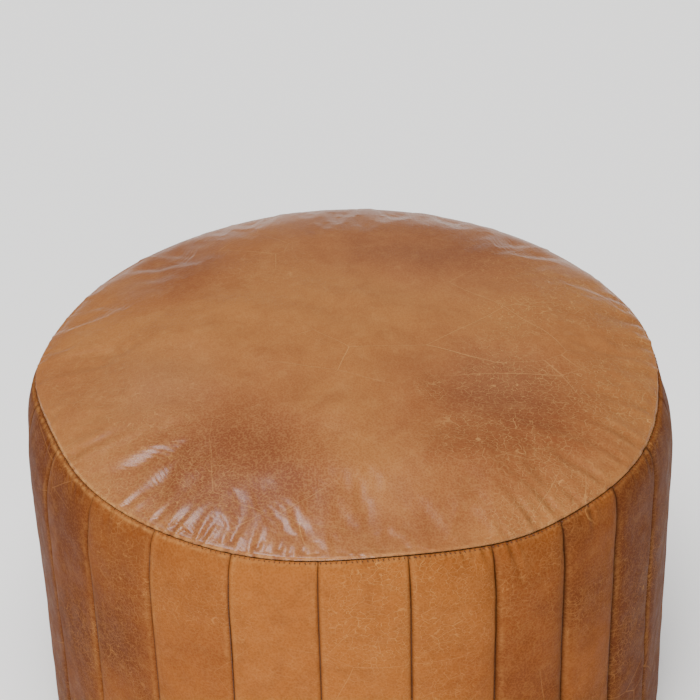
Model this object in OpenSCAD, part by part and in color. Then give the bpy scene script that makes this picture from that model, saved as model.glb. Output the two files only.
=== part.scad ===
// Leather drum pouf: a domed round leather top sewn to a side of upright leather
// panels, drawn over a plywood drum with foam. Z is up, the front faces -Y, and the
// origin is the middle of the floor under it. Millimetres.

/* [Overall] */
// Diameter over the side panels
pouf_d = 500; // [440:10:560]
// Height from the floor to the top of the dome
pouf_h = 350; // [320:10:420]

/* [Leather] */
// Thickness of the leather
leather_t = 1.5; // [1.2:0.1:2]
// Number of upright panels round the side
panel_count = 24; // [20:1:28]
// Angle of the first panel seam, from the +X axis
first_seam_angle = 9; // [0:1:14]
// How far the hand-cut seams on the right run ahead of even spacing, in degrees
seam_drift = 5.5; // [0:0.5:6]
// Height of the dome above the crown seam
dome_rise = 31.5; // [24:0.5:40]
// How far the crown seam lies inside the wall
seam_inset = 13; // [11:0.5:15]
// Height over which the side panels lean in to the crown seam
shoulder_h = 50; // [40:1:60]
// Radius of the turn from the wall to the hem underneath
hem_corner_r = 8; // [6:0.5:10]
// Width of the crown's seam allowance
crown_allowance = 9; // [7:0.5:10]
// Depth of the seam allowances between the panels
panel_allowance = 8; // [6:0.5:9]
// Width of the hem turned in underneath
hem_w = 50; // [40:5:70]

/* [Padding] */
// Thickness of the fibre wadding under the middle of the crown
wadding_t = 9.6; // [5:0.1:14]

/* [Frame] */
// How far the seat and base boards lie inside the wall
board_r_inset = 17; // [17:1:22]
// Thickness of the seat board
seat_board_t = 15; // [12:1:18]
// Thickness of the base board
base_board_t = 12; // [12:1:15]
// Height of the seat board's top
seat_board_top = 270; // [265:1:275]
// Thickness of the bent plywood wall
drum_wall_t = 3; // [3:0.5:4]
// Width of an upright, along the wall
upright_w = 45; // [40:1:55]
// Depth of an upright, towards the middle
upright_depth = 32; // [28:1:40]

/* [Base] */
// Diameter of a floor glide
glide_d = 30; // [26:1:32]
// Height of a floor glide
glide_h = 6; // [4:0.5:10]
// Thickness of the non-woven dust cover
dust_cover_t = 0.6; // [0.5:0.1:0.8]
// How far the dust cover's edge lies inside the wall
dust_cover_inset = 18; // [14:1:26]

/* [Hidden] */
$fn = 180;
upright_count = 8;
glide_count = 4;
sewn_gap = 0.1;       // between two leathers that are sewn together
foam_gap = 0.3;       // between foam and leather
screw_gap = 0.05;     // round a screw in its hole
panel_gap = 1;        // between neighbouring panels, which holds the seam thread
overshoot = 1;        // how far a cutter runs past what it cuts
curve_steps = 12;     // straight pieces in one rounded stretch

// Heights, from the floor up
dust_cover_z = glide_h;
hem_z = dust_cover_z + dust_cover_t;
frame_z = hem_z + leather_t;
upright_z = frame_z + base_board_t;
seat_board_z = seat_board_top - seat_board_t;
crown_seam_z = pouf_h - dome_rise;
panel_top = crown_seam_z - sewn_gap;
shoulder_z = panel_top - shoulder_h;
allowance_z = hem_z + hem_corner_r + overshoot;

// Radii
wall_r = pouf_d / 2;
seam_r = wall_r - seam_inset;
allowance_r = seam_r - crown_allowance;
hem_r = wall_r - hem_w;
board_r = wall_r - board_r_inset;
drum_r = board_r + drum_wall_t;
upright_r = sqrt(pow(board_r, 2) - pow(upright_w / 2, 2)) - sewn_gap;
upright_mid_r = upright_r - upright_depth / 2;
dust_cover_r = wall_r - dust_cover_inset;
glide_r = dust_cover_r - glide_d / 2 - 1;
foam_r = allowance_r - 2;
foam_top_z = crown_seam_z + leather_t + 1;
foam_rise = pouf_h - leather_t - foam_gap - wadding_t - sewn_gap - foam_top_z;

// Fasteners
screw_r = 2;
screw_l = 45;
screw_head_r = 4;
screw_spread = 12;
nail_r = 1.2;
nail_head_r = 2.6;
nail_head_h = 1;
nail_recess_r = 3.4;
nail_recess_h = 2.4;
staple_wire = 0.7;
staple_crown = 10;
staple_leg = 9;
thread_r = 0.5;
panel_thread_r = 0.4;

// Angles
gap_angle = panel_gap / wall_r * 180 / PI;
allowance_angle = leather_t / wall_r * 180 / PI;
foam_gap_angle = foam_gap / wall_r * 180 / PI;
slot_angle = gap_angle + 2 * (allowance_angle + foam_gap_angle);
drift_centre = 345;   // where the seams run furthest ahead, from +X
drift_spread = 30;    // how wide that stretch is
allowance_end = 75;   // how far up the shoulder the panels' seam allowances reach
upright_step = 360 / upright_count;
drum_joint_angle = 2.5 * upright_step;

function angle_between(a, b) = (a - b + 540) % 360 - 180;

// Angle of seam number k, which is the start of panel k
function seam_angle(k) = let (even = first_seam_angle + 360 / panel_count * (k - 1))
    even - seam_drift * exp(-pow(angle_between(even, drift_centre) / drift_spread, 2));

function two_digits(n) = str(n < 10 ? "0" : "", n);
function panel_name(k) = str("side_panel_", two_digits(k));

// Points along part of an ellipse centred at [r, z]
function curve(r, z, width, height, from, to) =
    [for (i = [0:curve_steps]) let (t = from + (to - from) * i / curve_steps)
        [r + width * cos(t), z + height * sin(t)]];

function reversed(points) = [for (i = [len(points) - 1:-1:0]) points[i]];

// The side leather's outline at a depth below its outer face, from the hem up
function side_outline(depth) = concat(
    curve(wall_r - hem_corner_r, hem_z + hem_corner_r,
        hem_corner_r - depth, hem_corner_r - depth, -90, 0),
    curve(seam_r, shoulder_z, seam_inset - depth, shoulder_h - depth, 0, 90));

// The same from a height upward, to an angle up the shoulder, for the seam allowances
function upper_outline(depth, z, to) = concat(
    [[wall_r - depth, z]],
    curve(seam_r, shoulder_z, seam_inset - depth, shoulder_h - depth, 0, to));

// The dome's outline at a depth below its outer face, from the axis outward
function dome_outline(depth, to) =
    curve(0, crown_seam_z, seam_r - depth, dome_rise - depth, 90, to);

module round_to(angle, r) {
    rotate([0, 0, angle]) translate([r, 0, 0]) children();
}

// The slice of a turned shape that starts at an angle
module turned(start, width) {
    rotate([0, 0, start]) rotate_extrude(angle = width) children();
}

// The round top: a domed shell with its seam allowance turned in below
module crown_leather() {
    inner_end = asin(leather_t / (dome_rise - leather_t));
    color("#b0702f") rotate_extrude() polygon(concat(
        dome_outline(0, 0),
        [[allowance_r, crown_seam_z], [allowance_r, crown_seam_z + leather_t]],
        reversed(dome_outline(leather_t, inner_end))));
}

// One upright panel, from the crown seam down the wall and in under the base
module side_panel(k) {
    start = seam_angle(k) + gap_angle / 2;
    width = seam_angle(k + 1) - seam_angle(k) - gap_angle;
    color(k % 2 == 0 ? "#a8662c" : "#9e5f2a") {
        turned(start, width) polygon(concat(
            [[hem_r, hem_z]], side_outline(0), [[allowance_r, panel_top]],
            [[allowance_r, panel_top - leather_t]],
            reversed(side_outline(leather_t)), [[hem_r, frame_z]]));
        for (edge = [start, start + width - allowance_angle])
            turned(edge, allowance_angle) seam_allowance();
    }
}

// The turned-in edge of a panel, from inside the wall's leather inward
module seam_allowance() {
    polygon(concat(upper_outline(leather_t / 2, allowance_z, allowance_end),
        reversed(upper_outline(panel_allowance, allowance_z, allowance_end))));
}

// The stitching that joins the crown to the panels, in the crease
module crown_seam_thread() {
    color("#2c1a10") rotate_extrude()
        translate([seam_r + thread_r + sewn_gap, crown_seam_z + thread_r + sewn_gap / 2])
            circle(r = thread_r, $fn = 24);
}

// The stitching between the panels, one line in each gap
module panel_seam_threads() {
    thread_z = allowance_z + overshoot;
    color("#2c1a10") for (k = [1:panel_count])
        round_to(seam_angle(k), wall_r - 2 * leather_t) translate([0, 0, thread_z])
            cylinder(r = panel_thread_r, h = shoulder_z - thread_z, $fn = 24);
}

// The fibre layer over the foam, which gives the crown its dome
module seat_wadding() {
    outer_depth = leather_t + foam_gap;
    rim_z = crown_seam_z + leather_t + 0.2;
    rim_end = asin((rim_z - crown_seam_z) / (dome_rise - outer_depth));
    color("#f2f0ea") rotate_extrude() polygon(concat(
        dome_outline(outer_depth, rim_end),
        [[foam_r + foam_gap, rim_z]],
        curve(0, foam_top_z, foam_r + foam_gap, foam_rise + sewn_gap, 0, 90)));
}

// The seat foam on the board, notched for the crown's seam allowances
module seat_foam() {
    notch_z = panel_top - leather_t - foam_gap;
    color("#e8d98a") rotate_extrude() polygon(concat(
        [[0, seat_board_top], [drum_r, seat_board_top], [drum_r, notch_z], [foam_r, notch_z]],
        curve(0, foam_top_z, foam_r, foam_rise, 0, 90)));
}

// The foam sheet round the drum, slit where the panels' seam allowances run
module side_foam() {
    depth = leather_t + foam_gap;
    slot_depth = panel_allowance + foam_gap;
    slot_z = allowance_z - overshoot / 2;
    slot_end = allowance_end + 3;
    slot_end_r = seam_r + (seam_inset - slot_depth) * cos(slot_end);
    inner_r = drum_r + foam_gap;
    color("#e3d27c") difference() {
        rotate_extrude() polygon(concat([[inner_r, hem_z + depth]], side_outline(depth),
            [[inner_r, panel_top - depth]]));
        for (k = [1:panel_count]) turned(seam_angle(k) - slot_angle / 2, slot_angle)
            polygon(concat(
                upper_outline(slot_depth, slot_z, slot_end),
                [[slot_end_r, pouf_h], [wall_r + overshoot, pouf_h],
                    [wall_r + overshoot, slot_z]]));
    }
}

// A countersunk screw with its head's face at the origin and its point above, or with a
// gap, the hole for it
module screw_shape(gap) {
    face_z = gap > 0 ? -overshoot : 0;
    rim_z = 0.3;
    rotate_extrude($fn = 48) polygon([[0, face_z], [screw_head_r + gap, face_z],
        [screw_head_r + gap, rim_z], [screw_r + gap, rim_z + screw_head_r - screw_r],
        [screw_r + gap, screw_l - 2 * screw_r], [0, screw_l + gap]]);
}

module screws_from_above(gap = 0) {
    for (k = [1:upright_count], side = [-1, 1])
        round_to(upright_step * (k - 0.5), upright_mid_r)
            translate([0, side * screw_spread, seat_board_top]) mirror([0, 0, 1])
                screw_shape(gap);
}

module screws_from_below(gap = 0) {
    for (k = [1:upright_count], side = [-1, 1])
        round_to(upright_step * (k - 0.5), upright_mid_r)
            translate([0, side * screw_spread, frame_z]) screw_shape(gap);
}

// The round plywood seat, with five vent holes
module seat_board() {
    vent_r = 8;
    vent_circle_r = board_r / 2;
    color("#d9b982") difference() {
        translate([0, 0, seat_board_z]) cylinder(r = board_r, h = seat_board_t);
        screws_from_above(screw_gap);
        translate([0, 0, seat_board_z - overshoot])
            cylinder(r = vent_r, h = seat_board_t + 2 * overshoot, $fn = 48);
        for (a = [0:90:270]) round_to(a, vent_circle_r)
            translate([0, 0, seat_board_z - overshoot])
                cylinder(r = vent_r, h = seat_board_t + 2 * overshoot, $fn = 48);
    }
}

// The round plywood base, to which the leather's hem is stapled
module base_board() {
    color("#d2b078") difference() {
        translate([0, 0, frame_z]) cylinder(r = board_r, h = base_board_t);
        screws_from_below(screw_gap);
    }
}

// The bent plywood wall round both boards, with its butt joint over an upright
module drum_wall() {
    joint = panel_gap / drum_r * 180 / PI;
    color("#c9a66b") turned(drum_joint_angle + joint / 2, 360 - joint)
        translate([board_r, frame_z]) square([drum_wall_t, seat_board_top - frame_z]);
}

// One softwood upright between the boards, drilled for two screws at each end
module upright(k) {
    angle = upright_step * (k - 0.5);
    color("#dcc08c") rotate([0, 0, angle]) difference() {
        translate([upright_r - upright_depth, -upright_w / 2, upright_z])
            cube([upright_depth, upright_w, seat_board_z - upright_z]);
        for (side = [-1, 1]) translate([upright_mid_r, side * screw_spread, 0]) {
            translate([0, 0, frame_z]) screw_shape(screw_gap);
            translate([0, 0, seat_board_top]) mirror([0, 0, 1]) screw_shape(screw_gap);
        }
    }
}

module seat_board_screws() {
    color("#b9bcc0") screws_from_above();
}

module base_board_screws() {
    color("#b9bcc0") screws_from_below();
}

// A wire staple whose crown lies along Y at x = 0 and whose legs point towards -X
module staple() {
    for (side = [-1, 1]) translate([-staple_leg, side * (staple_crown - staple_wire) / 2, 0])
        translate([0, -staple_wire / 2, -staple_wire / 2])
            cube([staple_leg, staple_wire, staple_wire]);
    translate([-staple_wire, -staple_crown / 2, -staple_wire / 2])
        cube([staple_wire, staple_crown, staple_wire]);
}

// A staple driven upward, with its crown across a radius
module staple_up() {
    rotate([0, 90, 0]) staple();
}

// The staples that hold the bent wall to both boards and to the upright at its joint
module drum_wall_staples() {
    rows = 5;
    row_step = (seat_board_z - upright_z) / (rows + 1);
    joint_offset = 9 / drum_r * 180 / PI;
    color("#a7aab0") {
        for (a = [0:15:345], z = [frame_z + base_board_t / 2, seat_board_top - seat_board_t / 2])
            rotate([0, 0, a + 7.5 / 2]) translate([drum_r, 0, z]) staple();
        for (i = [1:rows], side = [-1, 1])
            rotate([0, 0, drum_joint_angle + side * joint_offset])
                translate([drum_r, 0, upright_z + i * row_step]) rotate([90, 0, 0]) staple();
    }
}

// Two staples through the hem of each panel, up into the base board
module hem_staples() {
    staple_z = hem_z + 0.1;
    color("#a7aab0") for (k = [1:panel_count], third = [1, 2])
        round_to(seam_angle(k) + (seam_angle(k + 1) - seam_angle(k)) * third / 3, hem_r + 8)
            translate([0, 0, staple_z]) staple_up();
}

// The black non-woven cloth that closes the underside
module dust_cover() {
    color("#1f1f20") translate([0, 0, dust_cover_z]) cylinder(r = dust_cover_r, h = dust_cover_t);
}

module dust_cover_staples() {
    color("#a7aab0") for (a = [7.5:15:352.5])
        round_to(a, dust_cover_r - 6)
            translate([0, 0, dust_cover_z - staple_wire]) staple_up();
}

// A round plastic floor glide, recessed below for its nail
module glide(k) {
    rim = 1.2;
    color("#241f1c") round_to(90 * k - 45, glide_r) difference() {
        rotate_extrude() polygon([[0, 0], [glide_d / 2 - rim, 0], [glide_d / 2, rim],
            [glide_d / 2, glide_h], [0, glide_h]]);
        translate([0, 0, -overshoot]) cylinder(r = nail_recess_r,
            h = nail_recess_h + overshoot, $fn = 48);
        cylinder(r = nail_r + screw_gap, h = glide_h + overshoot, $fn = 48);
    }
}

// The nails that hold the glides, with their heads up inside the recesses
module glide_nails() {
    head_z = nail_recess_h - nail_head_h;
    tip_z = upright_z - overshoot;
    color("#b9bcc0") for (k = [1:glide_count]) round_to(90 * k - 45, glide_r)
        rotate_extrude($fn = 48) polygon([[0, head_z], [nail_head_r, head_z],
            [nail_head_r, nail_recess_h], [nail_r, nail_recess_h],
            [nail_r, tip_z - 2 * nail_r], [0, tip_z]]);
}

crown_leather();
for (k = [1:panel_count])
    side_panel(k);
crown_seam_thread();
panel_seam_threads();
seat_wadding();
seat_foam();
side_foam();
seat_board();
base_board();
drum_wall();
for (k = [1:upright_count])
    upright(k);
seat_board_screws();
base_board_screws();
drum_wall_staples();
hem_staples();
dust_cover();
dust_cover_staples();
for (k = [1:glide_count])
    glide(k);
glide_nails();
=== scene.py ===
import math

import bpy
import numpy as np
from mathutils import Matrix, Vector


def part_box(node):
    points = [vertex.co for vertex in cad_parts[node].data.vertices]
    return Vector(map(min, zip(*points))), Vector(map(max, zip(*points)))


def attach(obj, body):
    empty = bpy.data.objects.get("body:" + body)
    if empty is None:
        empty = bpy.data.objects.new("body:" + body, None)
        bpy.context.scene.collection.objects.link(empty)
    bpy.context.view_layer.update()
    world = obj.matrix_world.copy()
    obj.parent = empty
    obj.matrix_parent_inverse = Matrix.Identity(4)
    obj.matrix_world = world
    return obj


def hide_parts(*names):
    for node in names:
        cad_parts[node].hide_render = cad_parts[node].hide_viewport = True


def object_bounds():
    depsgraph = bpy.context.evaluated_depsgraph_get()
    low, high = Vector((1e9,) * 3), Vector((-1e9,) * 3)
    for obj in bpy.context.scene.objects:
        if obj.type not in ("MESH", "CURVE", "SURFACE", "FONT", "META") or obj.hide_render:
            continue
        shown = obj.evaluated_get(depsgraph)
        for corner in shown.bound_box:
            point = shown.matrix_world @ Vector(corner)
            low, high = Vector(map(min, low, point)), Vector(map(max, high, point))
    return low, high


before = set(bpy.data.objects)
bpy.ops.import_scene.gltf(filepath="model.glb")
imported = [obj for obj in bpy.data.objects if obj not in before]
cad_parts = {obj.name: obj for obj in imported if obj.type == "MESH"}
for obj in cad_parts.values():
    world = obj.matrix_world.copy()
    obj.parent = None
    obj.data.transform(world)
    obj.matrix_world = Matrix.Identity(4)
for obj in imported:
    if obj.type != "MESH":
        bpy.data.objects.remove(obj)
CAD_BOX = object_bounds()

MM = 0.001

# Sizes, from the frame
CROWN_LOW, CROWN_HIGH = (np.array(c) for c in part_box("crown_leather"))
PANEL_LOW = np.array(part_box("side_panel_01")[0])
COVER_LOW, COVER_HIGH = (np.array(c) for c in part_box("dust_cover"))
WALL_R = (CAD_BOX[1][0] - CAD_BOX[0][0]) / 2
SEAM_R = (CROWN_HIGH[0] - CROWN_LOW[0]) / 2
SEAM_Z = CROWN_LOW[2]
DOME_RISE = CROWN_HIGH[2] - CROWN_LOW[2]
HEM_Z = PANEL_LOW[2]
FOAM_R = SEAM_R - 15 * MM
FOAM_RIM_Z = SEAM_Z + 2.5 * MM
COVER_R = (COVER_HIGH[0] - COVER_LOW[0]) / 2

# Leather
LEATHER = 1.5 * MM
PANELS = 24
FIRST_SEAM = 9.0  # degrees from +X
SEAM_DRIFT = 5.5  # how far the seams on the right run ahead, in degrees
DRIFT_CENTRE, DRIFT_SPREAD = 345.0, 30.0
SEAM_INSET = WALL_R - SEAM_R
SHOULDER = 50 * MM  # height over which the panels lean in to the crown
HEM_CORNER = 8 * MM
HEM_WIDTH = 50 * MM
HALF_GAP = 0.15 * MM  # from a panel's edge to the middle of its seam
SIM_COLUMNS = 15
SIM_ROWS = np.array([0, 6, 12, 18, 24, *range(27, 84, 2), 86, 89])  # rows of the profile
ALLOWANCE = 7.5 * MM  # how deep a panel's edges turn in
CROWN_ALLOWANCE = 8.5 * MM
STITCH = 3.6 * MM
FRONT = -90.0  # the direction of -Y, in degrees from +X


def rgb(text):
    """Linear colour from a six-figure hex colour."""
    parts = [int(text[i:i + 2], 16) / 255 for i in (0, 2, 4)]
    return tuple(p / 12.92 if p <= 0.04045 else ((p + 0.055) / 1.055) ** 2.4 for p in parts)


# Numbers that vary smoothly over the surface ---------------------------------------------


def smooth(x, low, high):
    """0 below low, 1 above high, and an S between."""
    t = np.clip((np.asarray(x, float) - low) / (high - low), 0, 1)
    return t * t * (3 - 2 * t)


def turn_between(a, b):
    """The signed angle from b to a, in degrees."""
    return (np.asarray(a, float) - b + 540) % 360 - 180


def bump_at(angle, centre, spread):
    """A soft hump over an angle, 1 at its centre."""
    return np.exp(-(turn_between(angle, centre) / spread) ** 2)


def humps(angle, *each):
    """The sum of soft humps in millimetres: (height, degrees right of the front, spread)."""
    return MM * sum(high * bump_at(angle, FRONT + centre, spread) for high, centre, spread in each)


def ripples(points, wavelength, seed, count=18):
    """Soft seeded noise of about unit size, with humps about half a wavelength across."""
    rng = np.random.default_rng(seed)
    ways = rng.normal(size=(count, 3))
    ways /= np.linalg.norm(ways, axis=1, keepdims=True)
    pitch = 2 * np.pi / wavelength * rng.uniform(0.6, 1.5, count)
    shift = rng.uniform(0, 2 * np.pi, count)
    total = np.zeros(len(points))
    for way, p, s in zip(ways, pitch, shift):
        total += np.sin(points @ way * p + s)
    return total * math.sqrt(2 / count)


def seam_angle(k):
    """The angle of panel seam k, in degrees from +X, as in the CAD model."""
    even = FIRST_SEAM + 360 / PANELS * (k - 1)
    return even - SEAM_DRIFT * float(bump_at(even, DRIFT_CENTRE, DRIFT_SPREAD))


def seam_lift(angle):
    """How far the hand-sewn crown seam rises above its mean height."""
    return humps(angle, (5.2, 5, 15), (-3.6, 31, 11), (-3.8, 58, 24), (2.5, -70, 10),
                 (-3.0, 145, 32), (-2.0, -145, 28))


def seam_out(angle):
    """How far the crown seam lies outside its mean radius."""
    return humps(angle, (4.4, 58, 20), (-2.6, -70, 12), (3.5, -89, 9))


def lean_in(angle):
    """How far the shoulder leans in at the seam beyond that, at the back right."""
    return humps(angle, (-4.5, 110, 28))


def hollow(angle):
    """How much flatter than its plain curve the shoulder is."""
    return humps(angle, (5.5, 99, 15), (3.0, -105, 20))


def overhang(angle):
    """How far the crown's edge rolls out over its seam: most at the sides."""
    return 0.9 * MM + humps(angle, (2.7, -94, 14), (1.2, -120, 25), (3.8, 100, 18),
                            (0.4, 140, 25), (1.2, 185, 30))


def worn_rim(angle):
    """How pale the crown seam's edges are rubbed, most on the left of the front."""
    return 0.25 + 0.6 * bump_at(angle, FRONT - 55, 32)


def seam_shade(angle):
    """How much painted shade lies in the fold of the crown seam: less at the sides, where it closes
    up.
    """
    return 0.2 + 0.5 * bump_at(angle, FRONT + 12, 42) + 0.2 * bump_at(angle, FRONT + 180, 50)


def seam_grip(angle):
    """How firmly the crown seam draws the leather in on both sides of it."""
    return 0.2 + 0.8 * bump_at(angle, FRONT + 12, 45)


# Puckers: (degrees right of the front, length, half width, depth, lean), sizes in mm
CROWN_PUCKERS = [
    (-62, 60, 3.6, 1.0, 14), (-44, 26, 2.4, 0.8, 6), (-37, 22, 2.0, 1.1, 3),
    (-33, 26, 2.4, 1.6, 4), (-27, 26, 2.0, 1.7, 2), (-22, 24, 2.4, 1.6, 1),
    (-17, 24, 2.0, 1.4, 0), (-13, 20, 2.0, 1.3, 0), (-9, 20, 2.2, 1.0, 0),
    (27, 22, 2.2, 0.9, -3), (33, 36, 2.2, 1.5, -5), (38, 44, 2.6, 1.7, -8),
    (43, 26, 2.0, 1.0, -6), (50, 40, 2.8, 1.6, -10), (57, 34, 2.4, 1.2, -8),
    (63, 46, 3.0, 1.5, -10), (73, 40, 3.4, 1.0, -8), (84, 36, 4.5, 1.1, -4),
    (93, 40, 4.5, 1.5, 0), (101, 40, 5.0, 1.6, 0), (109, 36, 4.5, 1.2, 4),
]
PANEL_PUCKERS = [
    (27, 30, 2.2, 1.5, 4), (22, 16, 1.8, 0.9, 2), (44, 22, 2.0, 1.1, -2),
    (-46, 18, 2.0, 0.8, 2), (62, 24, 2.2, 1.2, -2),
]


def scattered_puckers(count, seed, length, width, depth):
    """Puckers at seeded places all round, with sizes in mm between the pairs given."""
    rng = np.random.default_rng(seed)
    return [
        (rng.uniform(0, 360), rng.uniform(*length), rng.uniform(*width),
         rng.uniform(*depth), rng.normal(0, 3))
        for _ in range(count)
    ]


def pucker_depth(angle, distance, puckers, radius):
    """How far the leather is pushed in at a distance from the seam, and its raised sides."""
    total = np.zeros(len(angle))
    for place, length, width, depth, lean in puckers:
        near = np.abs(turn_between(angle, FRONT + place)) < 12
        along = distance[near] / (length * MM)
        across = np.radians(turn_between(angle[near], FRONT + place)) * radius
        across = across - lean * MM * along ** 1.5
        w = width * MM * (1 + 0.5 * along)
        fade = np.exp(-(along * 1.3) ** 2) * smooth(distance[near], -1 * MM, 2.5 * MM)
        valley = np.exp(-(across / w) ** 2)
        sides = np.exp(-((np.abs(across) - 1.9 * w) / (0.9 * w)) ** 2)
        total[near] += depth * MM * fade * (valley - 0.45 * sides)
    return total


# How dark or golden each of the front panels is: partly the hide's own colour, partly painted
# shade, darker towards both sides as they turn away from the front light; the others are drawn from
# a pattern
PANEL_TONES_AND_SHADE = {1: -1.1, 2: -0.7, 3: -0.4, 10: -0.4, 11: -0.8, 12: -1.0, 13: -0.9, 14: -0.6,
               15: -0.5, 16: -0.1, 17: 0.4, 18: 0.6, 19: 0.1, 20: -0.5, 21: -0.5, 22: -1.1,
               23: -1.4, 24: -1.4}
# Where the crown is drawn darker (below 0) or more golden (above 0): (x, y, size, amount)
CROWN_TONES = [
    (-0.1, -0.165, 0.055, -1.15), (-0.14, -0.13, 0.07, -0.4), (0.08, 0.115, 0.05, -0.6),
    (-0.13, 0.09, 0.05, -0.5), (0.15, -0.06, 0.12, -0.08), (0.1, -0.15, 0.12, -0.16),
    (0.0, 0.17, 0.1, -0.6), (-0.05, -0.21, 0.06, -0.5), (0.06, -0.21, 0.05, -0.3),
    (0.0, 0.04, 0.06, 0.7), (0.0, -0.08, 0.05, 0.6), (0.02, -0.16, 0.035, 0.6),
    (-0.2, 0.03, 0.04, 0.7), (-0.07, 0.04, 0.05, 0.3), (0.19, 0.06, 0.05, 0.3),
]
# Where a painted sheen greys the crown: a painted reflection of the pale room, widest along the far
# rim
CROWN_PAINTED_SHEEN = [
    (-0.14, -0.055, 0.04, 0.7), (0.11, -0.06, 0.05, 0.6), (0.06, 0.1, 0.07, 0.4),
    (0.0, 0.22, 0.12, 0.8), (0.16, 0.12, 0.08, 0.5), (-0.16, 0.13, 0.06, 0.5),
]
# Where its grain is coarse
CROWN_PEBBLES = [(-0.08, -0.15, 0.06, 0.8), (-0.15, -0.16, 0.05, 0.5), (-0.05, -0.21, 0.05, 0.5)]


def blots(points, places):
    """The sum of soft round blots."""
    total = np.zeros(len(points))
    for x, y, size, amount in places:
        away = (points[:, 0] - x) ** 2 + (points[:, 1] - y) ** 2
        total += amount * np.exp(-away / size ** 2)
    return total


# Meshes ----------------------------------------------------------------------------------


def make_piece(name, points, faces, material, attributes=None):
    """A smooth mesh piece on the root body, with its point attributes."""
    mesh = bpy.data.meshes.new(name)
    mesh.from_pydata([tuple(p) for p in points], [], [tuple(f) for f in faces])
    for key, values in (attributes or {}).items():
        layer = mesh.attributes.new(key, "FLOAT", "POINT")
        layer.data.foreach_set("value", np.asarray(values, np.float32))
    mesh.materials.append(material)
    mesh.polygons.foreach_set("use_smooth", [True] * len(mesh.polygons))
    mesh.update()
    piece = bpy.data.objects.new(name, mesh)
    bpy.context.collection.objects.link(piece)
    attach(piece, "root")
    return piece


def stand_in(node):
    """Hides the CAD solid that a piece replaces."""
    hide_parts(node)


def thicken(piece, thickness):
    """Gives a sheet its thickness, inward from the face that shows."""
    solid = piece.modifiers.new("thickness", "SOLIDIFY")
    solid.thickness = thickness
    solid.offset = -1


def grid_faces(rows, columns, start=0):
    """Quads between rows of points, wound for rows that go down and columns to the left."""
    i, j = np.meshgrid(np.arange(rows - 1), np.arange(columns - 1), indexing="ij")
    a = (i * columns + j).ravel() + start
    return np.stack([a, a + columns, a + columns + 1, a + 1], 1)


def disc_grid(rings):
    """An all-quad disc: each point's ring and angle, and the faces, facing up."""
    i, j = np.meshgrid(np.arange(-rings, rings + 1), np.arange(-rings, rings + 1), indexing="ij")
    x, y = i.ravel().astype(float), j.ravel().astype(float)
    wide = np.abs(x) >= np.abs(y)
    big, small = np.where(wide, x, y), np.where(wide, y, x)
    turn = np.pi / 4 * small / np.where(big == 0, 1, big)
    angle = np.where(wide, turn, np.pi / 2 - turn) + np.where(big < 0, np.pi, 0)
    side = 2 * rings + 1
    a, b = np.meshgrid(np.arange(side - 1), np.arange(side - 1), indexing="ij")
    k = (a * side + b).ravel()
    faces = np.stack([k, k + side, k + side + 1, k + 1], 1)
    return np.abs(big), np.degrees(angle), faces


def polar(radius, angle, z):
    """Points from radius, angle in degrees and height."""
    a = np.radians(angle)
    return np.stack([radius * np.cos(a), radius * np.sin(a), z], 1)


def closed_layer(name, top, faces, bands, under, material):
    """A closed layer on a disc grid: its top, bands of points down its rim, its underside."""
    side = math.isqrt(len(top))
    index = np.arange(len(top)).reshape(side, side)
    rim = np.concatenate([index[0, :-1], index[:-1, -1], index[-1, :0:-1], index[:0:-1, 0]])
    rings = [rim]
    points = [top]
    for band in bands:
        rings.append(np.arange(len(rim)) + sum(len(p) for p in points))
        points.append(band(rim))
    start = sum(len(p) for p in points)
    points.append(under)
    rings.append(rim + start)
    every = [faces, faces[:, ::-1] + start]
    for upper, lower in zip(rings[:-1], rings[1:]):
        every.append(np.stack([upper, lower, np.roll(lower, -1), np.roll(upper, -1)], 1))
    return make_piece(name, np.concatenate(points), np.concatenate(every), material)


# Shader nodes ----------------------------------------------------------------------------


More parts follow.
